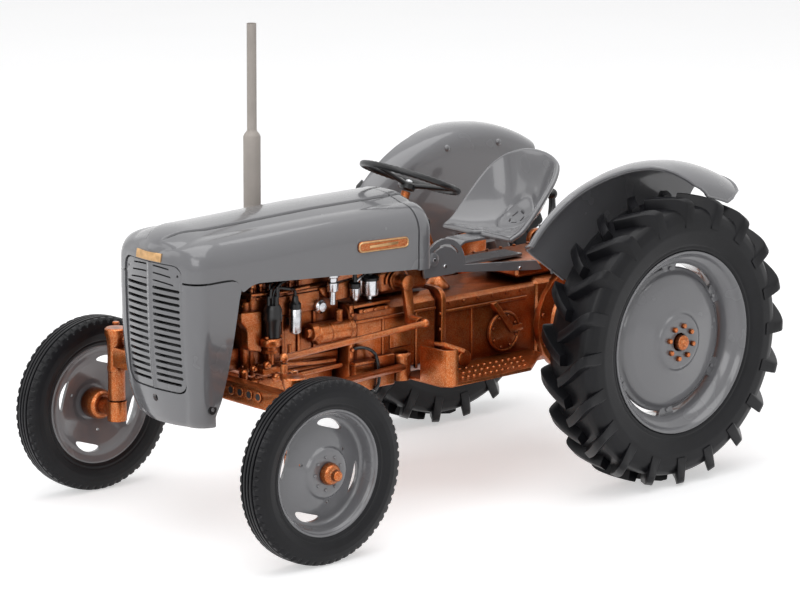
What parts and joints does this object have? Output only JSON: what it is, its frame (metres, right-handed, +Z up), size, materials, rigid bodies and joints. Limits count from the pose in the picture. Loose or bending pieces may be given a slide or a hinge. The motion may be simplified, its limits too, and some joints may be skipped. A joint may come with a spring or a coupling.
{
  "type": "1:16 scale model of a vintage farm tractor",
  "caption": "Scale model of a grey and bronze farm tractor with turning wheels, steering front axle, mudguards, pan seat, upright exhaust and a rear hydraulic lift.",
  "frame": {"origin": "on the ground, under the middle of the model's length and width", "axes": "+X towards the tractor's front, +Y towards its left, +Z up"},
  "size_m": [0.1862, 0.1026, 0.118],
  "materials": {
    "grey_enamel": "gloss",
    "bronze_enamel": "satin",
    "tyre_rubber": "matte",
    "black_plastic": "satin",
    "stack_plastic": "matte",
    "bright_metal": "satin"
  },
  "bodies": {
    "chassis": {"gearbox_and_rear_axle": "bronze_enamel", "lift_cover": "bronze_enamel", "power_take_off": "bright_metal", "engine_block": "bronze_enamel", "fan_and_pulleys": "black_plastic", "distributor": "black_plastic", "ignition_coil": "bright_metal", "oil_filler": "bright_metal", "oil_tap": "bright_metal", "fuel_bowl": "bright_metal", "fuel_filter": "bright_metal", "front_axle_beam": "bronze_enamel", "mudguard_left": "grey_enamel", "mudguard_right": "grey_enamel", "bonnet": "grey_enamel", "nose_panel": "grey_enamel", "grille": "grey_enamel", "front_bolster": "bronze_enamel", "radiator": "black_plastic", "fuel_tank": "black_plastic", "cowl": "grey_enamel", "steering_box": "bronze_enamel", "seat_pan": "grey_enamel", "gear_lever": "black_plastic", "quadrant_plate": "grey_enamel", "exhaust_stack": "stack_plastic", "exhaust_manifold": "bronze_enamel"},
    "spindle_left": {"spindle_post_left": "bronze_enamel"},
    "spindle_right": {"spindle_post_right": "bronze_enamel"},
    "front_wheel_left": {"front_rim_left": "grey_enamel", "front_tyre_left": "tyre_rubber", "front_hub_cap_left": "bronze_enamel"},
    "front_wheel_right": {"front_rim_right": "grey_enamel", "front_tyre_right": "tyre_rubber", "front_hub_cap_right": "bronze_enamel"},
    "rear_wheel_left": {"rear_rim_left": "grey_enamel", "rear_hub_left": "bronze_enamel", "rear_tyre_left": "tyre_rubber"},
    "rear_wheel_right": {"rear_rim_right": "grey_enamel", "rear_hub_right": "bronze_enamel", "rear_tyre_right": "tyre_rubber"},
    "drag_link_left": {"drag_link_rod_left": "bronze_enamel"},
    "drag_link_right": {"drag_link_rod_right": "bronze_enamel"},
    "drop_arm_left": {"drop_arm_lever_left": "bronze_enamel"},
    "drop_arm_right": {"drop_arm_lever_right": "bronze_enamel"},
    "steering_wheel": {"steering_wheel_rim": "black_plastic"},
    "lift_arms": {"lift_arm_pair": "bronze_enamel"},
    "lift_rod_left": {"lift_rod_bar_left": "bronze_enamel"},
    "lift_rod_right": {"lift_rod_bar_right": "bronze_enamel"},
    "lower_link_left": {"lower_link_bar_left": "bronze_enamel"},
    "lower_link_right": {"lower_link_bar_right": "bronze_enamel"}
  },
  "joints": [
    {"name": "steer_left", "type": "hinge", "parent": "chassis", "child": "spindle_left", "pos_m": [0.0709, 0.0347, 0.0222], "axis": [0, 0, 1], "range_deg": [-32, 32]},
    {"name": "steer_right", "type": "hinge", "parent": "chassis", "child": "spindle_right", "pos_m": [0.0709, -0.0347, 0.0222], "axis": [0, 0, 1], "range_deg": [-32, 32]},
    {"name": "front_spin_left", "type": "hinge", "parent": "spindle_left", "child": "front_wheel_left", "pos_m": [0.0709, 0.0443, 0.0222], "axis": [0, 1, 0], "continuous": true},
    {"name": "front_spin_right", "type": "hinge", "parent": "spindle_right", "child": "front_wheel_right", "pos_m": [0.0709, -0.0443, 0.0222], "axis": [0, 1, 0], "continuous": true},
    {"name": "rear_spin_left", "type": "hinge", "parent": "chassis", "child": "rear_wheel_left", "pos_m": [-0.0434, 0.0434, 0.0372], "axis": [0, 1, 0], "continuous": true},
    {"name": "rear_spin_right", "type": "hinge", "parent": "chassis", "child": "rear_wheel_right", "pos_m": [-0.0434, -0.0434, 0.0372], "axis": [0, 1, 0], "continuous": true},
    {"name": "drag_link_pivot_left", "type": "hinge", "parent": "spindle_left", "child": "drag_link_left", "pos_m": [0.0668, 0.026, 0.0455], "axis": [0, 0, 1], "range_deg": [-36, 36]},
    {"name": "drag_link_pivot_right", "type": "hinge", "parent": "spindle_right", "child": "drag_link_right", "pos_m": [0.0668, -0.026, 0.0455], "axis": [0, 0, 1], "range_deg": [-36, 36]},
    {"name": "drop_arm_pivot_left", "type": "hinge", "parent": "chassis", "child": "drop_arm_left", "pos_m": [0.0178, 0.0132, 0.0552], "axis": [0, 1, 0], "range_deg": [-32, 32]},
    {"name": "drop_arm_pivot_right", "type": "hinge", "parent": "chassis", "child": "drop_arm_right", "pos_m": [0.0178, -0.0132, 0.0552], "axis": [0, 1, 0], "range_deg": [-32, 32]},
    {"name": "steering_wheel_turn", "type": "hinge", "parent": "chassis", "child": "steering_wheel", "pos_m": [0.0043, 0, 0.078], "axis": [-0.3714, 0, 0.9285], "continuous": true},
    {"name": "lift_arms_raise", "type": "hinge", "parent": "chassis", "child": "lift_arms", "pos_m": [-0.0524, 0, 0.0531], "axis": [0, 1, 0], "range_deg": [0, 50]},
    {"name": "lift_rod_pivot_left", "type": "hinge", "parent": "lift_arms", "child": "lift_rod_left", "pos_m": [-0.0704, 0.0156, 0.0501], "axis": [0, 1, 0], "range_deg": [-52, 0]},
    {"name": "lift_rod_pivot_right", "type": "hinge", "parent": "lift_arms", "child": "lift_rod_right", "pos_m": [-0.0704, -0.0156, 0.0501], "axis": [0, 1, 0], "range_deg": [-52, 0]},
    {"name": "lower_link_pivot_left", "type": "hinge", "parent": "chassis", "child": "lower_link_left", "pos_m": [-0.0414, 0.014, 0.0236], "axis": [0, 1, 0], "range_deg": [0, 32]},
    {"name": "lower_link_pivot_right", "type": "hinge", "parent": "chassis", "child": "lower_link_right", "pos_m": [-0.0414, -0.014, 0.0236], "axis": [0, 1, 0], "range_deg": [0, 32]}
  ],
  "couplings": [
    {"joint": "steer_right", "follows": "steer_left", "ratio": 1},
    {"joint": "drag_link_pivot_left", "follows": "steer_left", "ratio": -1.0812},
    {"joint": "drag_link_pivot_right", "follows": "steer_left", "ratio": -1.0812},
    {"joint": "drop_arm_pivot_left", "follows": "steer_left", "ratio": -0.886},
    {"joint": "drop_arm_pivot_right", "follows": "steer_left", "ratio": 0.886},
    {"joint": "lift_rod_pivot_left", "follows": "lift_arms_raise", "ratio": -1},
    {"joint": "lift_rod_pivot_right", "follows": "lift_arms_raise", "ratio": -1},
    {"joint": "lower_link_pivot_left", "follows": "lift_arms_raise", "ratio": 0.62},
    {"joint": "lower_link_pivot_right", "follows": "lift_arms_raise", "ratio": 0.62}
  ]
}
